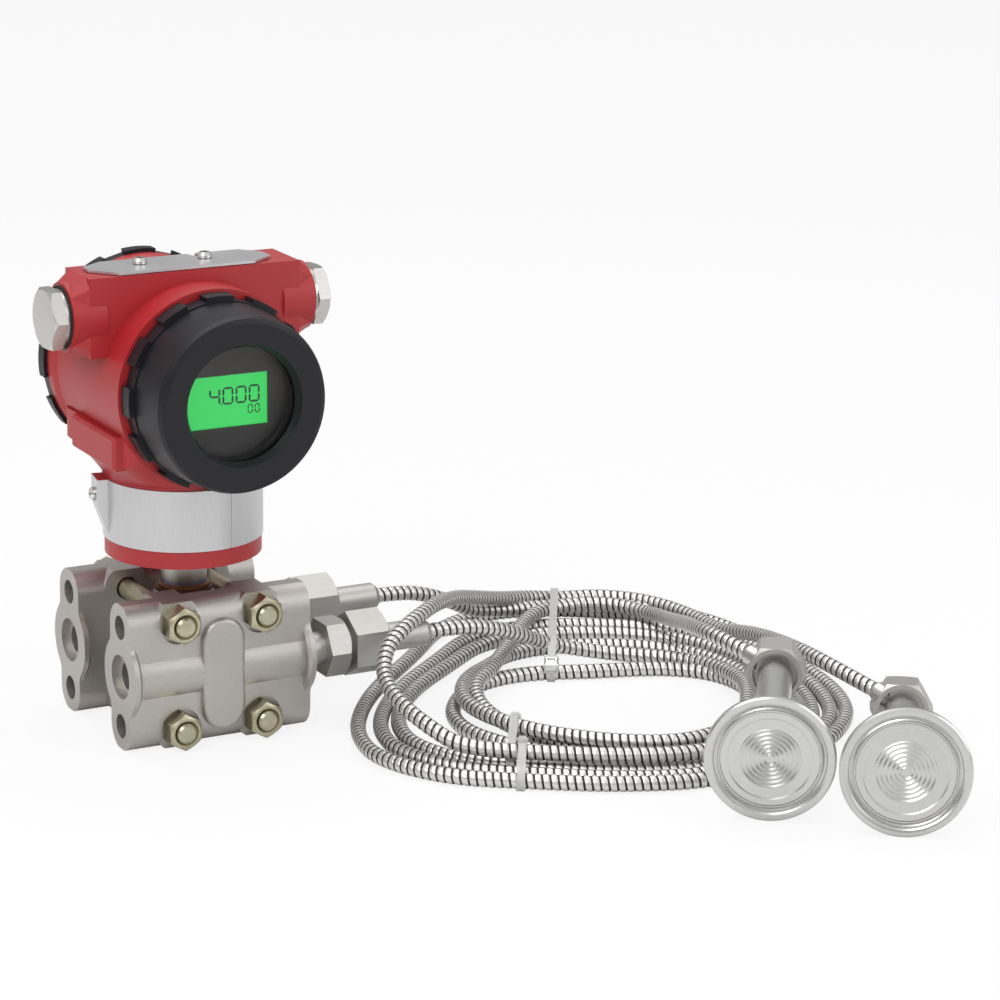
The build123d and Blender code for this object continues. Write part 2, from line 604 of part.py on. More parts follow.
# Tag plate that swings about its left screw, open slot for the right one, screws and buttons
def tag_plate():
    top = TAG_BOTTOM + TAG_THICK
    outline = Polyline(
        (TAG_LEFT, TAG_FRONT + 10.5), (TAG_LEFT + 9, TAG_FRONT), (TAG_RIGHT - 10, TAG_FRONT),
        (TAG_RIGHT, TAG_FRONT + 7), (TAG_RIGHT, TAG_BACK - 8), (TAG_RIGHT - 7, TAG_BACK),
        (TAG_LEFT + 10, TAG_BACK), (TAG_LEFT, TAG_BACK - 7), close=True,
    )
    plate = Pos(0, 0, TAG_BOTTOM) * extrude(make_face(outline), TAG_THICK)
    plate -= cyl_z(1.8, TAG_BOTTOM - 1, top + 1, TAG_SCREW_X[0], TAG_SCREW_Y)
    plate -= cyl_z(1.8, TAG_BOTTOM - 1, top + 1, TAG_SCREW_X[1], TAG_SCREW_Y)
    reach = TAG_SCREW_X[1] - TAG_SCREW_X[0]
    arc = cyl_z(reach + 1.8, TAG_BOTTOM - 1, top + 1) - cyl_z(reach - 1.8, TAG_BOTTOM - 1, top + 1)
    arc &= block(reach / 2, reach + 5, 0, 20, TAG_BOTTOM - 2, top + 2)
    return plate - Pos(TAG_SCREW_X[0], TAG_SCREW_Y, 0) * arc


save("tag_plate", tag_plate())
tag_screw = pan_screw(2.95, 2.2, 1.5, 11)
tag_top = TAG_BOTTOM + TAG_THICK + 0.3
save("tag_plate_screws", *[Pos(x, TAG_SCREW_Y, tag_top) * tag_screw for x in TAG_SCREW_X])
for name, x in BUTTON_X.items():
    button = cyl_z(BUTTON_R, BUTTON_TOP - BUTTON_LENGTH, BUTTON_TOP, x, TAG_SCREW_Y)
    save(f"{name}_button", chamfer(button.faces().sort_by(Axis.Z)[-1].edges(), 0.5))


# Remote seals, built along their own stem and then laid on the floor
def seal_body():
    return spin_z([
        (0, 3.0), (19.2, 3.0), (19.2, 0.5), (19.7, 0.5), (20.1, 1.2), (20.7, 1.5),
        (21.4, 1.2), (21.9, 0.5), (22.6, 0.1), (23.4, 0.0), (24.6, 0.0),
        (SEAL_R, 0.6), (SEAL_R, 2.4), (24.6, 3.0), (21.6, 4.3), (21.6, 7.0), (20.0, 8.4),
        (10.5, 9.4), (8.2, 10.6), (STEM_R, 13.0), (STEM_R, SEAL_LENGTH + 6.0), (0, SEAL_LENGTH + 6.0),
    ])


def seal_diaphragm():
    """Corrugated foil over the seal's fill cavity."""
    top, bottom = [], []
    steps = DIAPHRAGM_WAVES * 4
    for step in range(steps + 1):
        radius = WAVE_START + DIAPHRAGM_WAVES * WAVE_PITCH * step / steps
        wave = WAVE_HEIGHT * math.sin(2 * math.pi * step / 4)
        top.append((radius, 1.0 + wave))
        bottom.append((radius, 2.0 + wave))
    rim = [(16.0, 1.0), (16.6, 0.7), (19.0, 0.7), (19.0, 2.9), (17.6, 2.9), (16.6, 2.0)]
    return spin_z([(0, 1.0)] + top + rim + bottom[::-1] + [(0, 2.0)])


def seal_hex():
    bar = Pos(0, 0, SEAL_LENGTH) * Rot(0, 0, 90) * hex_prism(HEX_FLATS, HEX_LENGTH)
    bar &= spin_z([
        (0, SEAL_LENGTH), (11.0, SEAL_LENGTH), (15.0, SEAL_LENGTH + 2.4), (15.0, 120), (0, 120),
    ])
    bar -= cyl_z(9.2, SEAL_LENGTH - 1, SEAL_LENGTH + 3.0)
    return bar - cyl_z(STEM_R, SEAL_LENGTH - 1, SEAL_LENGTH + 6.0)


def seal_plane(name):
    x, y, tilt = SEALS[name]
    lift = math.radians(tilt)
    level = unit(SEAL_DIR)
    axis = (level[0] * math.cos(lift), level[1] * math.cos(lift), math.sin(lift))
    centre = (x, y, BASE_Z + SEAL_R * math.cos(lift))
    across = (level[1], -level[0], 0)
    return Plane(origin=centre, x_dir=across, z_dir=axis)


def ferrule(route):
    """Tapered sleeve welded into the hexagon's upper left side, ending where the hose starts."""
    direction = Vector(*FERRULE_DIR).normalized()
    base = Vector(*route[0]) - direction * FERRULE_LENGTH
    body = spin_z([
        (0, 0), (FERRULE_R, 0), (FERRULE_R, FERRULE_LENGTH - 1.5),
        (FERRULE_R - 0.7, FERRULE_LENGTH), (0, FERRULE_LENGTH),
    ])
    return Plane(origin=tuple(base), z_dir=tuple(direction)) * body


SEAL_ROUTES = {"left": ROUTE_LEFT, "right": ROUTE_RIGHT}
for name, route in SEAL_ROUTES.items():
    place = seal_plane(name)
    tube = ferrule(route)
    fill_hole = Pos(0, 0, SEAL_LENGTH + HEX_LENGTH - 5) * cyl_z(3.2, 0, 9)
    stem_end = place * seal_body()
    save(f"seal_body_{name}", stem_end)
    save(f"seal_diaphragm_{name}", place * seal_diaphragm())
    save(f"seal_hex_{name}", place * (seal_hex() - fill_hole) - tube)
    save(f"capillary_ferrule_{name}", tube - stem_end)
fill_plugs = []
for name in SEALS:
    plug = cyl_z(3.1, -5, 0.2) + hex_prism(10, 4)
    fill_plugs.append(seal_plane(name) * Pos(0, 0, SEAL_LENGTH + HEX_LENGTH) * plug)
save("fill_plugs", *fill_plugs)


# Hose coil, its cable ties and the stretches that run free of the coil
def coil():
    outer = make_face(Spline(*COIL_OUTER, periodic=True))
    inner = make_face(Spline(*COIL_INNER, periodic=True))
    return Pos(0, 0, BASE_Z) * extrude(outer - inner, COIL_TOP - BASE_Z)


def tie(ends):
    (x0, y0), (x1, y1) = ends
    length = math.hypot(x1 - x0, y1 - y0)
    turn = math.degrees(math.atan2(y1 - y0, x1 - x0))
    height = COIL_TOP + TIE_THICK - BASE_Z
    outer = Box(length + 2 * TIE_THICK, TIE_WIDTH, height)
    inner = Box(length, TIE_WIDTH + 1, height - 2 * TIE_THICK)
    middle_z = (COIL_TOP + TIE_THICK + BASE_Z) / 2
    return Pos((x0 + x1) / 2, (y0 + y1) / 2, middle_z) * Rot(0, 0, turn) * (outer - inner)


def hose(name, points):
    """A tube of straight runs joined by tangent arcs, as large as its runs allow."""
    vectors = [Vector(*p) for p in points]
    runs = [vectors[i + 1] - vectors[i] for i in range(len(vectors) - 1)]
    radii = []
    for before, after in zip(runs, runs[1:]):
        half_turn = math.radians(before.get_angle(after) / 2)
        radii.append(0.45 * min(before.length, after.length) / math.tan(half_turn))
    path = FilletPolyline(*points, radius=radii)
    start = Plane(origin=points[0], z_dir=tuple(runs[0].normalized()))
    tube = sweep(start * Circle(HOSE_R), path)
    length = path.length
    share = tube.volume / (math.pi * HOSE_R ** 2 * length)
    print(name, "length", round(length, 1), "volume share", round(share, 4))
    print(name, "radii", [round(r) for r in radii], "runs", [round(r.length, 1) for r in runs])
    save(name, tube)


tie_solids = {name: tie(ends) for name, ends in TIES.items()}
coil_solid = coil()
for name, solid in tie_solids.items():
    coil_solid -= solid
    save(f"cable_tie_{name}", solid)
save("hose_coil", coil_solid)
hose("hose_lead_front", ROUTE_FRONT)
hose("hose_lead_rear", ROUTE_REAR)
hose("hose_loop", ROUTE_LOOP)
hose("hose_tail_left", ROUTE_LEFT)
hose("hose_tail_right", ROUTE_RIGHT)
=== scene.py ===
import json
import math

import bmesh
import bpy
from mathutils import Matrix, Vector

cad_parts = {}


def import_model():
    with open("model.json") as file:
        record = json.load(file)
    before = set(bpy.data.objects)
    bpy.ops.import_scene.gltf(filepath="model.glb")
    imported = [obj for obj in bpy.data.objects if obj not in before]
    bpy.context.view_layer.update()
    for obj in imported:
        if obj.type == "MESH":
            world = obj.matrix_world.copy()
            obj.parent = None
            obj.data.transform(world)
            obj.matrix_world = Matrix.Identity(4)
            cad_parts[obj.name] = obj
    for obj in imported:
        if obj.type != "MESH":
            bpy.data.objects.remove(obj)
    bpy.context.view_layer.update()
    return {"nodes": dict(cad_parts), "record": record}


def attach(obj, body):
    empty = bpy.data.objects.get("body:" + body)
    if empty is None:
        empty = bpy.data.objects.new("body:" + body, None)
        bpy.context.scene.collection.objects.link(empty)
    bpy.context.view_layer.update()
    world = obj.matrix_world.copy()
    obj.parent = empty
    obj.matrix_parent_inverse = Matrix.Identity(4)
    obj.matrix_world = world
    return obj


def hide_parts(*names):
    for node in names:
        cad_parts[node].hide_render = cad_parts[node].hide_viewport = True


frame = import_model()
nodes = frame["nodes"]

# Lengths below are in millimetres from the neck axis, as in the part's source.
SHIFT_X = 39.5


def place(x, y, z):
    return Vector(((x + SHIFT_X) / 1000, y / 1000, z / 1000))


# Camera, at the photograph's viewing angle: azimuth, elevation and roll in degrees
CAMERA_TURN = (-28.723, 15.586, 0.861)
CAMERA_SPOT = (-547.683, -1267.065, 447.145)
SENSOR_WIDTH = 36
FOCAL_LENGTH = 126.65
CLIP_RANGE = (0.01, 20)


def add_camera():
    azimuth, elevation, roll = map(math.radians, CAMERA_TURN)
    right = Vector((math.cos(azimuth), math.sin(azimuth), 0))
    back = Vector((
        math.sin(azimuth) * math.cos(elevation),
        -math.cos(azimuth) * math.cos(elevation),
        math.sin(elevation),
    ))
    up = back.cross(right)
    turned_right = math.cos(roll) * right + math.sin(roll) * up
    turned_up = -math.sin(roll) * right + math.cos(roll) * up
    data = bpy.data.cameras.new("camera")
    data.sensor_width = SENSOR_WIDTH
    data.lens = FOCAL_LENGTH
    data.clip_start, data.clip_end = CLIP_RANGE
    camera = bpy.data.objects.new("camera", data)
    turn = Matrix((turned_right, turned_up, back)).transposed().to_4x4()
    camera.matrix_world = Matrix.Translation(place(*CAMERA_SPOT)) @ turn
    bpy.context.collection.objects.link(camera)
    bpy.context.scene.camera = camera


add_camera()

# Hose routes outside the coil
ROUTE_FRONT = [(98, -27, 0), (113, -27, 0), (129, -25, -3.2), (145, -20, -9.2), (160, -13, -17.5)]
ROUTE_REAR = [(101, 27, 0), (115, 27, 0), (129, 28.5, -4), (142, 32, -10), (155, 37, -17.5)]
ROUTE_LOOP = [
    (166, 33, -11.7), (148, 20, -5.2), (127, 2, 3), (109, -17, 8.4), (97, -29, 10.2), (80, -42, 8.8),
    (67, -50, 3.4), (59.5, -63, -4.6), (57.5, -82, -8.6), (60.5, -99, -12.8), (68, -115, -18.5),
]
ROUTE_LEFT = [
    (195.5, -122.2, 4.6), (192.4, -110.4, 6.6), (191.9, -96, 6.6), (195.8, -81.5, 3.7), (201.5, -67.5, 0),
    (207.5, -52.8, -4), (213.4, -37.6, -8.5), (219.5, -22, -13),
]
ROUTE_RIGHT = [
    (234.0, -158.2, -6.2), (228, -135.6, -1.9), (228.5, -115, -2), (232, -93, -4.8), (237, -71, -9),
    (240, -50, -13.5), (241, -30, -19),
]

FLOOR_Z = -26.9
UPPER_Z = -20.4
LANDING_FRONT = [(177, -10, -23.5), (196, -19, -26.5)]
RISE_FRONT = [
    (138, -17, UPPER_Z), (151, -2, UPPER_Z), (162.5, 12, UPPER_Z), (174, 25, UPPER_Z), (188.5, 35.8, UPPER_Z),
    (206, 36.5, UPPER_Z), (221, 28.5, UPPER_Z), (228, 12.5, UPPER_Z), (225.5, -5, -17.2),
]
RISE_REAR = [(184, 44, -16.5), (203, 47, UPPER_Z), (223, 42, UPPER_Z), (238, 25, UPPER_Z), (244, 0, UPPER_Z)]

# The ring that the coil's turns follow, clockwise from its back left: outermost and innermost turn
RING_OUTER = [
    (113, 22), (146, 62), (181, 72), (213, 59), (242, 36), (258, 8), (262, -30), (260, -65), (254, -104),
    (238, -136), (198, -164), (150, -172), (114, -159), (84, -140), (58, -122), (43, -92), (47, -64),
    (60, -38), (80, -11),
]
RING_INNER = [
    (139, -28), (155, -33), (172, -42), (191, -48), (206, -56.5), (215, -70), (216, -86), (210, -101),
    (200, -114), (187, -126), (170, -135), (150, -136), (130, -124), (113, -108), (103, -94), (97, -76),
    (100, -58), (110, -42), (124, -31),
]

# How far out and how high a hose lies as it goes round: station along the ring, share of the way
# from the innermost to the outermost turn, height
LAY_REAR = [
    (2, 0.79, -21), (7, 1.0, FLOOR_Z), (11, 1.0, FLOOR_Z), (15, 1.0, FLOOR_Z),
    (21, 0.9, FLOOR_Z), (26, 0.86, FLOOR_Z), (30, 0.84, FLOOR_Z), (34, 0.8, FLOOR_Z),
    (40, 0.68, FLOOR_Z), (45, 0.7, FLOOR_Z), (49, 0.67, FLOOR_Z), (53, 0.63, FLOOR_Z),
    (59, 0.57, FLOOR_Z), (64, 0.55, FLOOR_Z), (68, 0.6, UPPER_Z), (71, 0.72, -19.5),
]
LAY_FRONT = [
    (4, 0.2, -25), (7, 0.0, UPPER_Z), (11, 0.2, UPPER_Z), (15, 0.0, UPPER_Z), (17, 0.06, UPPER_Z),
    (21, 0.41, FLOOR_Z), (26, 0.35, FLOOR_Z), (30, 0.3, FLOOR_Z), (34, 0.13, FLOOR_Z),
    (40, 0.08, FLOOR_Z), (45, 0.16, FLOOR_Z), (49, 0.12, FLOOR_Z), (53, -0.16, -25), (55, -0.06, UPPER_Z),
    (57, 0.0, UPPER_Z),
]
REAR_STATIONS = (3, 70)
FRONT_STATIONS = (4, 56)

# Armour: its profile is the share of the hose's radius along one pitch, and the groove starts at a row
# of that profile; the groove's faces are painted shade. Each end reaches some way into its sleeve.
HOSE_R = 3.25
SPLINE_STEPS = 10
ARMOUR_SIDES = 12
ARMOUR_PITCH = 3.2
ARMOUR_PROFILE = (0.955, 0.99, 1.0, 1.0, 0.99, 0.955, 0.88)
GROOVE_ROW = 5
ARMOUR_TUCK = 4.0


def ring_point(station, share, height):
    outer = Vector(RING_OUTER[station % len(RING_OUTER)])
    inner = Vector(RING_INNER[station % len(RING_INNER)])
    spot = inner.lerp(outer, share)
    return (spot.x, spot.y, height)


def turns(lay, first, last):
    """Route points of the turns from one station to another, eased between the given stations."""
    points = []
    for station in range(first, last + 1):
        for (s0, share0, z0), (s1, share1, z1) in zip(lay, lay[1:]):
            if s0 <= station <= s1:
                t = (station - s0) / (s1 - s0)
                ease = t * t * (3 - 2 * t)
                break
        points.append(ring_point(station, share0 + (share1 - share0) * ease, z0 + (z1 - z0) * ease))
    return points


REAR_COIL = turns(LAY_REAR, *REAR_STATIONS)
FRONT_COIL = turns(LAY_FRONT, *FRONT_STATIONS)
REAR_HOSE = ROUTE_REAR + REAR_COIL + ROUTE_LOOP[::-1] + RISE_REAR + ROUTE_RIGHT[::-1]
FRONT_HOSE = ROUTE_FRONT + LANDING_FRONT + FRONT_COIL + RISE_FRONT + ROUTE_LEFT[::-1]


def centreline(name, route):
    """Points along the NURBS spline whose control points are the route's, and their length."""
    curve = bpy.data.curves.new(name, "CURVE")
    curve.dimensions = "3D"
    spline = curve.splines.new("NURBS")
    spline.points.add(len(route) - 1)
    for point, spot in zip(spline.points, route):
        point.co = (*place(*spot), 1)
    spline.order_u = 3
    spline.use_endpoint_u = True
    spline.resolution_u = SPLINE_STEPS
    holder = bpy.data.objects.new(name, curve)
    mesh = bpy.data.meshes.new_from_object(holder)
    points = [v.co.copy() for v in mesh.vertices]
    bpy.data.objects.remove(holder)
    length = sum((b - a).length for a, b in zip(points, points[1:]))
    return points, length


def resample(points, step):
    """Evenly spaced points along a polyline."""
    spaced, carried = [points[0]], 0.0
    for a, b in zip(points, points[1:]):
        run = (b - a).length
        at = step - carried
        while at <= run:
            spaced.append(a.lerp(b, at / run))
            at += step
        carried = run - (at - step)
    return spaced


def frames_along(points):
    """A tangent and two normals at each point, with no twist."""
    tangents = []
    for i in range(len(points)):
        tangents.append((points[min(i + 1, len(points) - 1)] - points[max(i - 1, 0)]).normalized())
    normal = tangents[0].orthogonal().normalized()
    result = []
    for tangent in tangents:
        normal = (normal - tangent * normal.dot(tangent)).normalized()
        result.append((normal, tangent.cross(normal)))
    return result


def new_object(name, mesh, *materials):
    obj = bpy.data.objects.new(name, mesh)
    bpy.context.collection.objects.link(obj)
    for item in materials:
        mesh.materials.append(item)
    return obj


def armour_mesh(name, points):
    """Strip-wound armour: one helical groove along the whole hose, its faces in the second material, which is
    painted shade.
    """
    sides, steps = ARMOUR_SIDES, len(ARMOUR_PROFILE)
    per_pitch = sides * steps
    tuck = ARMOUR_TUCK / 1000
    before = points[0] - (points[1] - points[0]).normalized() * tuck
    after = points[-1] + (points[-1] - points[-2]).normalized() * tuck
    spaced = resample([before] + points + [after], ARMOUR_PITCH / 1000 / per_pitch)
    frames = frames_along(spaced)
    rows = (len(spaced) - 1) // sides - steps
    bm = bmesh.new()
    grid = []
    for row in range(rows):
        ring = []
        for side in range(sides):
            index = row * sides + side * steps
            angle = 2 * math.pi * side / sides
            radius = HOSE_R / 1000 * ARMOUR_PROFILE[row % steps]
            a, b = frames[index]
            ring.append(bm.verts.new(spaced[index] + (a * math.cos(angle) + b * math.sin(angle)) * radius))
        grid.append(ring)
    for row in range(rows - 1):
        below, above = grid[row], grid[row + 1]
        strip = [(below[i], above[i], above[i + 1], below[i + 1]) for i in range(sides - 1)]
        if row + steps + 1 < rows:
            strip.append((below[-1], above[-1], grid[row + steps + 1][0], grid[row + steps][0]))
        for corners in strip:
            # Faces in the groove take the second material: painted shade in the groove
            bm.faces.new(corners).material_index = int(row % steps >= GROOVE_ROW)
    bmesh.ops.holes_fill(bm, edges=[e for e in bm.edges if e.is_boundary], sides=0)
    bmesh.ops.recalc_face_normals(bm, faces=bm.faces)
    mesh = bpy.data.meshes.new(name)
    bm.to_mesh(mesh)
    bm.free()
    mesh.shade_smooth()
    return mesh


# Materials: one procedural node set, with its own numbers for each finish
def add_node(tree, kind, **values):
    """A shader node with its inputs set by name."""
    node = tree.nodes.new(kind)
    for key, value in values.items():
        node.inputs[key.replace("_", " ")].default_value = value
    return node


def add_mix(tree, blend, **values):
    """A colour mix node with its inputs set by name."""
    node = tree.nodes.new("ShaderNodeMix")
    node.data_type = "RGBA"
    node.blend_type = blend
    for key, value in values.items():
        node.inputs[key].default_value = value
    return node


def height_ramp(tree, coordinate, low, high, stops):
    """A colour ramp that runs over a coordinate's height, with stops at shares of the way up."""
    where = tree.nodes.new("ShaderNodeTexCoord")
    split = tree.nodes.new("ShaderNodeSeparateXYZ")
    tree.links.new(where.outputs[coordinate], split.inputs["Vector"])
    height = add_node(tree, "ShaderNodeMapRange", From_Min=low, From_Max=high)
    tree.links.new(split.outputs["Z"], height.inputs["Value"])
    ramp = tree.nodes.new("ShaderNodeValToRGB")
    while len(ramp.color_ramp.elements) < len(stops):
        ramp.color_ramp.elements.new(0.5)
    for element, (position, color) in zip(ramp.color_ramp.elements, stops):
        element.position = position
        element.color = (*color, 1)
    tree.links.new(height.outputs["Result"], ramp.inputs["Fac"])
    return ramp


def shade(color, amount):
    return [min(max(c * (1 + amount), 0), 1) for c in color] + [1]


def finish_material(name, color, metallic=0.0, rough=0.5, grain=900, grain_color=0.06, grain_rough=0.1,
                    bump=0.0, spots=0.0, spot_scale=40, stretch=(1, 1, 1), **sockets):
    """Fine grain shifts the colour and the relief, and broad spots shift the colour and the gloss."""
    material = bpy.data.materials.new(name)
    material.use_nodes = True
    tree = material.node_tree
    shader = tree.nodes["Principled BSDF"]
    shader.inputs["Metallic"].default_value = metallic
    for key, value in sockets.items():
        shader.inputs[key.replace("_", " ")].default_value = value
    where = tree.nodes.new("ShaderNodeTexCoord")
    scaled = add_node(tree, "ShaderNodeMapping", Scale=stretch)
    fine = add_node(tree, "ShaderNodeTexNoise", Scale=grain, Detail=4)
    broad = add_node(tree, "ShaderNodeTexNoise", Scale=spot_scale, Detail=3)
    tree.links.new(where.outputs["Object"], scaled.inputs["Vector"])
    tree.links.new(scaled.outputs["Vector"], fine.inputs["Vector"])
    tree.links.new(scaled.outputs["Vector"], broad.inputs["Vector"])

    fine_color = add_mix(tree, "MIX", A=shade(color, -grain_color), B=shade(color, grain_color))
    spot_color = (1 - spots, 1 - spots * 1.1, 1 - spots * 1.2, 1)
    broad_color = add_mix(tree, "MULTIPLY", B=spot_color)
    tree.links.new(fine.outputs["Fac"], fine_color.inputs["Factor"])
    tree.links.new(broad.outputs["Fac"], broad_color.inputs["Factor"])
    tree.links.new(fine_color.outputs["Result"], broad_color.inputs["A"])
    tree.links.new(broad_color.outputs["Result"], shader.inputs["Base Color"])

    lowest, highest = max(rough - grain_rough, 0.02), min(rough + grain_rough, 1)
    rough_range = add_node(tree, "ShaderNodeMapRange", To_Min=lowest, To_Max=highest)
    tree.links.new(broad.outputs["Fac"], rough_range.inputs["Value"])
    tree.links.new(rough_range.outputs["Result"], shader.inputs["Roughness"])
    if bump:
        relief = add_node(tree, "ShaderNodeBump", Strength=1, Distance=bump / 1000)
        tree.links.new(fine.outputs["Fac"], relief.inputs["Height"])
        tree.links.new(relief.outputs["Normal"], shader.inputs["Normal"])
    return material


def tint_by_height(material, stops):
    """Multiplies a material's colour by one that changes with height: (height in mm, colour) stops."""
    tree = material.node_tree
    shader = tree.nodes["Principled BSDF"]
    plain = shader.inputs["Base Color"].links[0].from_socket
    low, high = stops[0][0], stops[-1][0]
    shares = [((level - low) / (high - low), color) for level, color in stops]
    ramp = height_ramp(tree, "Object", low / 1000, high / 1000, shares)
    mixed = add_mix(tree, "MULTIPLY", Factor=1)
    tree.links.new(plain, mixed.inputs["A"])
    tree.links.new(ramp.outputs["Color"], mixed.inputs["B"])
    tree.links.new(mixed.outputs["Result"], shader.inputs["Base Color"])


MATERIALS = {
    "red_paint": finish_material("red_paint", (0.40, 0.011, 0.015), rough=0.5, grain=1400, bump=0.02,
                                 grain_color=0.03, spots=0.05, Coat_Weight=0.3, Coat_Roughness=0.4),
    "cast_steel": finish_material("cast_steel", (0.55, 0.53, 0.51), metallic=1, rough=0.47, grain=700,
                                  bump=0.09, spots=0.14, grain_rough=0.08),
    "machined_steel": finish_material("machined_steel", (0.57, 0.56, 0.54), metallic=1, rough=0.46,
                                      grain=900, bump=0.02, stretch=(0.2, 1, 1), spots=0.08),
    "polished_steel": finish_material("polished_steel", (0.63, 0.63, 0.62), metallic=1, rough=0.28,
                                      grain=600, bump=0.006, grain_rough=0.05, spots=0.04),
    "zinc_plate": finish_material("zinc_plate", (0.60, 0.57, 0.42), metallic=1, rough=0.34, grain=500,
                                  bump=0.03, grain_color=0.2, spots=0.35, spot_scale=120),
    "plug_steel": finish_material("plug_steel", (0.64, 0.63, 0.61), metallic=1, rough=0.28, grain=900,
                                  bump=0.01, spots=0.04),
    "black_paint": finish_material("black_paint", (0.010, 0.010, 0.013), rough=0.42, grain=1600,
                                   bump=0.03, grain_color=0.2, Specular_IOR_Level=0.3),
    "clear_glass": finish_material("clear_glass", (0.93, 0.95, 0.94), rough=0.03, grain_color=0.0,
                                   grain_rough=0.01, Transmission_Weight=1, IOR=1.25),
    # Painted light: the display panel glows by its emission
    "lcd": finish_material("lcd", (0.03, 0.5, 0.1), rough=0.4, grain=300, grain_color=0.05, spots=0.1,
                           Emission_Color=(0.03, 0.75, 0.12, 1), Emission_Strength=0.55),
    "bezel_plastic": finish_material("bezel_plastic", (0.035, 0.024, 0.018), rough=0.5, grain=1200,
                                     bump=0.01),
    "circuit_board": finish_material("circuit_board", (0.02, 0.11, 0.05), rough=0.45, grain=400,
                                     grain_color=0.25),
    "terminal_plastic": finish_material("terminal_plastic", (0.02, 0.02, 0.022), rough=0.55, bump=0.03),
    "screw_steel": finish_material("screw_steel", (0.75, 0.74, 0.72), metallic=1, rough=0.2, grain=900,
                                   bump=0.01),
    "brass_post": finish_material("brass_post", (0.62, 0.45, 0.18), metallic=1, rough=0.3, bump=0.01),
    "rubber_seal": finish_material("rubber_seal", (0.012, 0.012, 0.012), rough=0.65, bump=0.02),
    "fibre_gasket": finish_material("fibre_gasket", (0.06, 0.06, 0.06), rough=0.75, bump=0.05),
    "label_steel": finish_material("label_steel", (0.62, 0.62, 0.63), metallic=0.85, rough=0.34,
                                   grain=1500, stretch=(1, 1, 0.1), bump=0.006, spots=0.04),
    "button_plastic": finish_material("button_plastic", (0.03, 0.03, 0.03), rough=0.5, bump=0.01),
    "hose_armour": finish_material("hose_armour", (0.76, 0.75, 0.74), metallic=0.9, rough=0.38, grain=500,
                                   bump=0.01, spots=0.1),
    "tie_plastic": finish_material("tie_plastic", (0.86, 0.86, 0.85), rough=0.3, bump=0.01,
                                   Transmission_Weight=0.6, IOR=1.46),
}

# Painted shade: the armour's groove faces are coloured near black for the shade in the groove
HOSE_GROOVE_SHADE = finish_material("hose_groove_shade", (0.05, 0.05, 0.05), metallic=1, rough=0.5, grain=500)
FIGURE_INK = finish_material("figure_ink", (0.006, 0.07, 0.03), rough=0.45, grain=300)

# Painted shade: the bezel is darker towards its bottom
BEZEL_SHADE_TINTS = ((86, (0.12, 0.14, 0.2)), (106, (0.25, 0.25, 0.3)), (124, (1, 1, 1)))
tint_by_height(MATERIALS["bezel_plastic"], BEZEL_SHADE_TINTS)

# Heat marks beside the weld at the neck's foot
NECK_TINTS = (
    (25.0, (0.35, 0.28, 0.24)), (26.4, (0.30, 0.16, 0.10)), (27.6, (0.75, 0.45, 0.22)),
    (28.8, (0.30, 0.30, 0.55)), (30.4, (0.62, 0.58, 0.52)), (34.0, (0.9, 0.9, 0.9)),
)
NECK_STEEL = MATERIALS["machined_steel"].copy()
tint_by_height(NECK_STEEL, NECK_TINTS)

for sub in frame["record"]["subparts"]:
    shown = nodes[sub["node"]]
    shown.data.materials.clear()
    own = NECK_STEEL if sub["node"] == "neck_tube" else MATERIALS[sub["material_slot"]]
    shown.data.materials.append(own)


# Hoses
def add_hose(name, route, replaced):
    points, length = centreline(name + "_line", route)
    hose = new_object(name, armour_mesh(name, points), MATERIALS["hose_armour"], HOSE_GROOVE_SHADE)
    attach(hose, "root")
    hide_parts(*replaced)
    return points


rear_line = add_hose("hose_rear", REAR_HOSE, ["hose_lead_rear", "hose_loop", "hose_tail_right", "hose_coil"])
front_line = add_hose("hose_front", FRONT_HOSE, ["hose_lead_front", "hose_tail_left", "hose_coil"])


def add_piece(name, bm, material, body="root", replaced=()):
    """One finished piece from its mesh, in metres, riding on a body."""
    bmesh.ops.recalc_face_normals(bm, faces=bm.faces)
    mesh = bpy.data.meshes.new(name)
    bm.to_mesh(mesh)
    bm.free()
    piece = new_object(name, mesh, material)
    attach(piece, body)
    if replaced:
        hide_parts(*replaced)


def add_prism(bm, near, far):
    """A closed solid between two loops of corners."""
    near = [bm.verts.new(corner) for corner in near]
    far = [bm.verts.new(corner) for corner in far]
    bm.faces.new(near)
    bm.faces.new(far)
    for i in range(len(near)):
        j = (i + 1) % len(near)
        bm.faces.new((near[i], near[j], far[j], far[i]))


# Cable ties: each strap is drawn tight round the strands that cross its line. A tie has the line's
# two ends and the turn of its head, in degrees up from the line.
TIE_WIDTH = 3.4
TIE_THICK = 0.9
TIE_EDGE = 0.5
TIE_CLEARANCE = 0.25
TIE_STEPS = 72
TIE_FLOOR = (-29.95, -30.2)
TIE_REACH = 4
TIE_TOP_Z = -12
HEAD_LENGTH, HEAD_HEIGHT, HEAD_EXTRA_WIDTH = 4.6, 3.0, 1.2
HEAD_RISE = 1.3
HEAD_BEVEL = 0.8
TIES = {
    "back": ((212, 66), (143, -53), 62),
    "inner": ((88, -119), (110, -83), 60),
    "outer": ((74, -152), (90, -125), 70),
}


def strands_across(start, end, lines):
    """Where the hoses cross a tie's line: (distance along it, height), in mm."""
    along = (end - start).normalized()
    across = Vector((-along.y, along.x))
    reach = (end - start).length + TIE_REACH
    found = []
    for line in lines:
        spots = [Vector((p.x * 1000 - SHIFT_X, p.y * 1000, p.z * 1000)) for p in line]
        for a, b in zip(spots, spots[1:]):
            side_a, side_b = (a.xy - start).dot(across), (b.xy - start).dot(across)
            if side_a * side_b < 0:
                spot = a.lerp(b, side_a / (side_a - side_b))
                distance = (spot.xy - start).dot(along)
                if -TIE_REACH < distance < reach and spot.z < TIE_TOP_Z:
                    found.append(Vector((distance, spot.z)))
    return found


def pointing(turn):
    return Vector((math.cos(turn), math.sin(turn)))


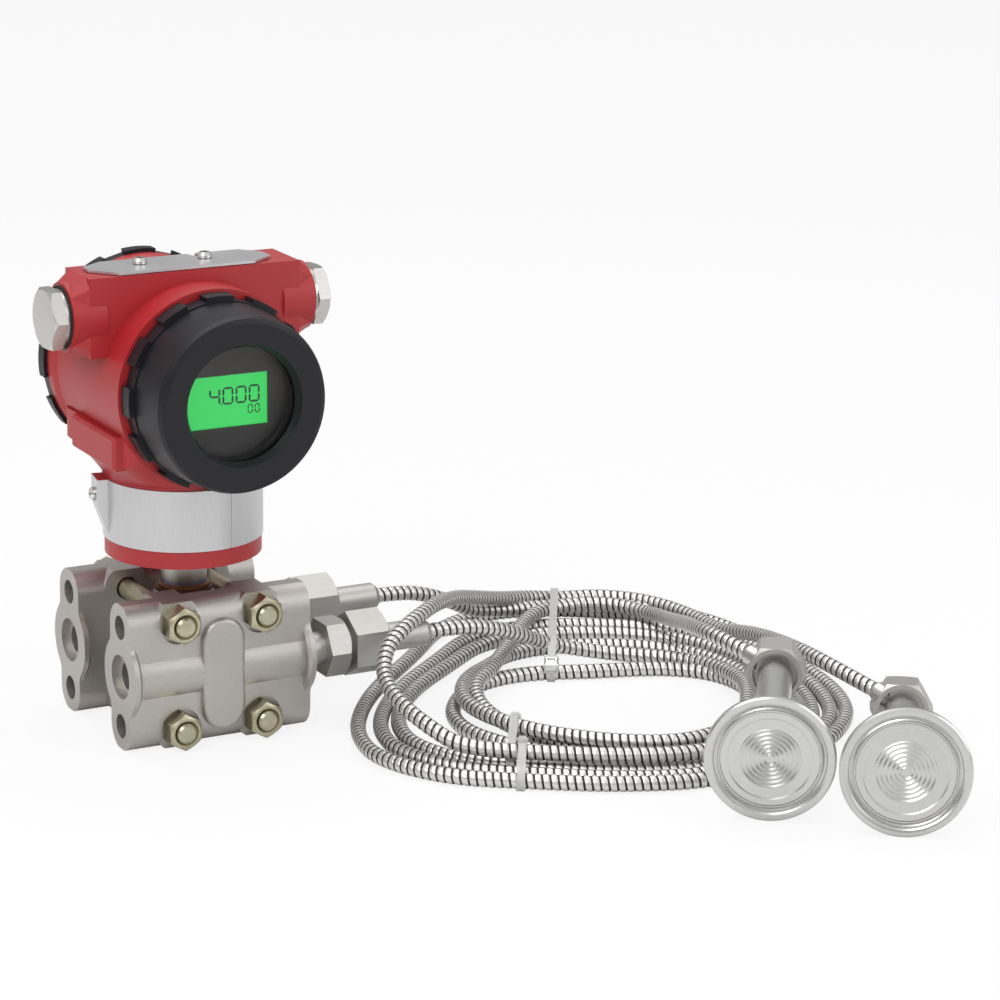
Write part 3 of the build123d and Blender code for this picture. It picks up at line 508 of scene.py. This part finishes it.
def add_tie(name, start, end, head_turn):
    start, end = Vector(start), Vector(end)
    along = (end - start).normalized()
    across = Vector((-along.y, along.x))
    strands = strands_across(start, end, (rear_line, front_line))

    def world(flat, shift):
        spot = start + along * flat.x + across * shift
        return place(spot.x, spot.y, flat.y)

    bm = bmesh.new()
    loops = []
    half = TIE_WIDTH / 2
    for step in range(TIE_STEPS):
        facing = pointing(2 * math.pi * step / TIE_STEPS)
        strand = max(strands, key=lambda spot: spot.dot(facing))
        inner = strand + facing * (HOSE_R + TIE_CLEARANCE)
        outer = strand + facing * (HOSE_R + TIE_CLEARANCE + TIE_THICK)
        inner.y, outer.y = max(inner.y, TIE_FLOOR[0]), max(outer.y, TIE_FLOOR[1])
        section = ((inner, -half), (inner, half), (outer, half), (outer, half - TIE_EDGE),
                   (outer, TIE_EDGE - half), (outer, -half))
        loops.append([bm.verts.new(world(flat, shift)) for flat, shift in section])
    for loop, following in zip(loops, loops[1:] + loops[:1]):
        for i in range(len(loop)):
            j = (i + 1) % len(loop)
            bm.faces.new((loop[i], loop[j], following[j], following[i]))

    facing = pointing(math.radians(head_turn))
    strand = max(strands, key=lambda spot: spot.dot(facing))
    middle = strand + facing * (HOSE_R + TIE_CLEARANCE + HEAD_RISE)
    flow = Vector((facing.y, -facing.x))
    made = bmesh.ops.create_cube(bm, size=1)["verts"]
    for vert in made:
        x, y, z = vert.co
        flat = middle + flow * (x * HEAD_LENGTH) + facing * (z * HEAD_HEIGHT)
        vert.co = world(flat, y * (TIE_WIDTH + HEAD_EXTRA_WIDTH))
    edges = {edge for vert in made for edge in vert.link_edges}
    bmesh.ops.bevel(bm, geom=list(edges), offset=HEAD_BEVEL / 1000, segments=3, affect="EDGES")
    add_piece(f"tie_strap_{name}", bm, MATERIALS["tie_plastic"],
              replaced=[f"cable_tie_{name}"])


for name, (start, end, head_turn) in TIES.items():
    add_tie(name, start, end, head_turn)


# Figures on the display, as seven-segment strokes just proud of the panel. A row has its text, the
# place of its first figure, the pitch, and each figure's width, height and stroke.
LCD_FACE_Y = -47.6
STROKE_GAP = 0.12
STROKE_LIFT = 0.02
STROKE_THICK = 0.08
SEGMENTS = {"0": "abcdef", "4": "bcfg"}
FIGURE_ROWS = (
    ("4000", -9.3, 113.4, 5.6, (3.9, 6.2, 0.8)),
    ("00", 6.9, 108.8, 3.0, (1.8, 3.2, 0.5)),
)
POINT_BOX = (-4.9, -4.0, 112.9, 113.8)


def add_stroke(bm, x0, x1, z0, z1):
    """A flat bar with pointed ends along its longer side."""
    if x1 - x0 > z1 - z0:
        tip, middle = (z1 - z0) / 2, (z0 + z1) / 2
        outline = [(x0, middle), (x0 + tip, z0), (x1 - tip, z0), (x1, middle), (x1 - tip, z1), (x0 + tip, z1)]
    else:
        tip, middle = (x1 - x0) / 2, (x0 + x1) / 2
        outline = [(middle, z0), (x1, z0 + tip), (x1, z1 - tip), (middle, z1), (x0, z1 - tip), (x0, z0 + tip)]
    back_y = LCD_FACE_Y - STROKE_LIFT
    front_y = back_y - STROKE_THICK
    add_prism(bm, [place(x, back_y, z) for x, z in outline], [place(x, front_y, z) for x, z in outline])


def add_digit(bm, digit, x, z, width, height, stroke):
    """One figure, from the middles of its outer strokes."""
    half = stroke / 2
    gap = STROKE_GAP
    middle = z + height / 2
    bars = {
        "a": (x + gap, x + width - gap, z + height - half, z + height + half),
        "g": (x + gap, x + width - gap, middle - half, middle + half),
        "d": (x + gap, x + width - gap, z - half, z + half),
        "f": (x - half, x + half, middle + gap, z + height - gap),
        "b": (x + width - half, x + width + half, middle + gap, z + height - gap),
        "e": (x - half, x + half, z + gap, middle - gap),
        "c": (x + width - half, x + width + half, z + gap, middle - gap),
    }
    for key in SEGMENTS[digit]:
        add_stroke(bm, *bars[key])


def add_figures():
    bm = bmesh.new()
    for text, first_x, z, pitch, size in FIGURE_ROWS:
        for index, digit in enumerate(text):
            add_digit(bm, digit, first_x + index * pitch, z, *size)
    add_stroke(bm, *POINT_BOX)
    add_piece("display_figures", bm, FIGURE_INK, body="housing")


add_figures()


# Joint of the nameplate band: the band's inner layer, seen in the slit between its ends
SEAM_LEFT, SEAM_RIGHT = 6.61, 7.39
SEAM_INNER_R, SEAM_OUTER_R = 31.92, 32.3
SEAM_BOTTOM, SEAM_TOP = 49.2, 73.8


def add_seam():
    spots = [(SEAM_LEFT, SEAM_INNER_R), (SEAM_RIGHT, SEAM_INNER_R), (SEAM_RIGHT, SEAM_OUTER_R),
             (SEAM_LEFT, SEAM_OUTER_R)]
    corners = [(x, -math.sqrt(r * r - x * x)) for x, r in spots]
    bottom, top = ([place(x, y, z) for x, y in corners] for z in (SEAM_BOTTOM, SEAM_TOP))
    bm = bmesh.new()
    add_prism(bm, bottom, top)
    add_piece("nameplate_seam", bm, MATERIALS["label_steel"], body="housing")


add_seam()

# Floor and light, in metres. The floor is seen white by the share of FLOOR_GLOW, and the surround's
# brightness runs from straight down to straight up.
GROUND_HALF = 6.0
GROUND_Z = -0.0303
FLOOR_GLOW = 0.85
SKY_LEVELS = ((0.0, 0.5), (0.48, 0.35), (0.56, 0.2), (0.7, 0.6), (1.0, 0.85))
LAMPS = {
    "key": ((-0.9, -0.7, 1.1), (0.05, 0, 0.05), (1.1, 0.9), 10),
    "fill": ((0.9, -1.0, 0.6), (0.15, 0, 0.03), (1.0, 1.0), 4.5),
    "top": ((0.1, 0.3, 1.3), (0.1, 0, 0), (1.2, 0.6), 5.5),
}


def add_floor():
    half = GROUND_HALF
    bm = bmesh.new()
    corners = ((-half, -half), (half, -half), (half, half), (-half, half))
    bm.faces.new([bm.verts.new((x, y, GROUND_Z)) for x, y in corners])
    mesh = bpy.data.meshes.new("floor")
    bm.to_mesh(mesh)
    bm.free()
    floor = new_object("floor", mesh, floor_material())


def floor_material():
    """A white floor that keeps part of the object's shadow where the camera sees it."""
    material = bpy.data.materials.new("floor")
    material.use_nodes = True
    tree = material.node_tree
    shader = tree.nodes["Principled BSDF"]
    shader.inputs["Base Color"].default_value = (0.8, 0.8, 0.8, 1)
    shader.inputs["Roughness"].default_value = 0.9
    shader.inputs["Specular IOR Level"].default_value = 0.1
    white = add_node(tree, "ShaderNodeEmission", Color=(1, 1, 1, 1))
    rays = tree.nodes.new("ShaderNodeLightPath")
    share = tree.nodes.new("ShaderNodeMath")
    share.operation = "MULTIPLY"
    share.inputs[1].default_value = FLOOR_GLOW
    tree.links.new(rays.outputs["Is Camera Ray"], share.inputs[0])
    mixed = tree.nodes.new("ShaderNodeMixShader")
    tree.links.new(share.outputs["Value"], mixed.inputs["Fac"])
    tree.links.new(shader.outputs["BSDF"], mixed.inputs[1])
    tree.links.new(white.outputs["Emission"], mixed.inputs[2])
    tree.links.new(mixed.outputs["Shader"], tree.nodes["Material Output"].inputs["Surface"])
    return material


def add_world():
    """Pale studio: bright above, darker near the horizon, white where the camera looks past the part."""
    world = bpy.data.worlds.new("studio")
    bpy.context.scene.world = world
    world.use_nodes = True
    tree = world.node_tree
    surround = tree.nodes["Background"]
    surround.inputs["Strength"].default_value = 1
    stops = [(position, (level, level, level)) for position, level in SKY_LEVELS]
    ramp = height_ramp(tree, "Generated", -1, 1, stops)
    tree.links.new(ramp.outputs["Color"], surround.inputs["Color"])
    white = add_node(tree, "ShaderNodeBackground", Color=(1, 1, 1, 1))
    rays = tree.nodes.new("ShaderNodeLightPath")
    mixed = tree.nodes.new("ShaderNodeMixShader")
    tree.links.new(rays.outputs["Is Camera Ray"], mixed.inputs["Fac"])
    tree.links.new(surround.outputs["Background"], mixed.inputs[1])
    tree.links.new(white.outputs["Background"], mixed.inputs[2])
    tree.links.new(mixed.outputs["Shader"], tree.nodes["World Output"].inputs["Surface"])


def add_lamp(name, spot, target, size, power):
    data = bpy.data.lights.new(name, "AREA")
    data.shape = "RECTANGLE"
    data.size, data.size_y = size
    data.energy = power
    lamp = bpy.data.objects.new(name, data)
    lamp.location = spot
    lamp.rotation_euler = (Vector(target) - Vector(spot)).to_track_quat("-Z", "Y").to_euler()
    bpy.context.collection.objects.link(lamp)


add_floor()
add_world()
for name, lamp in LAMPS.items():
    add_lamp(name, *lamp)

bpy.context.scene.view_settings.view_transform = "Standard"
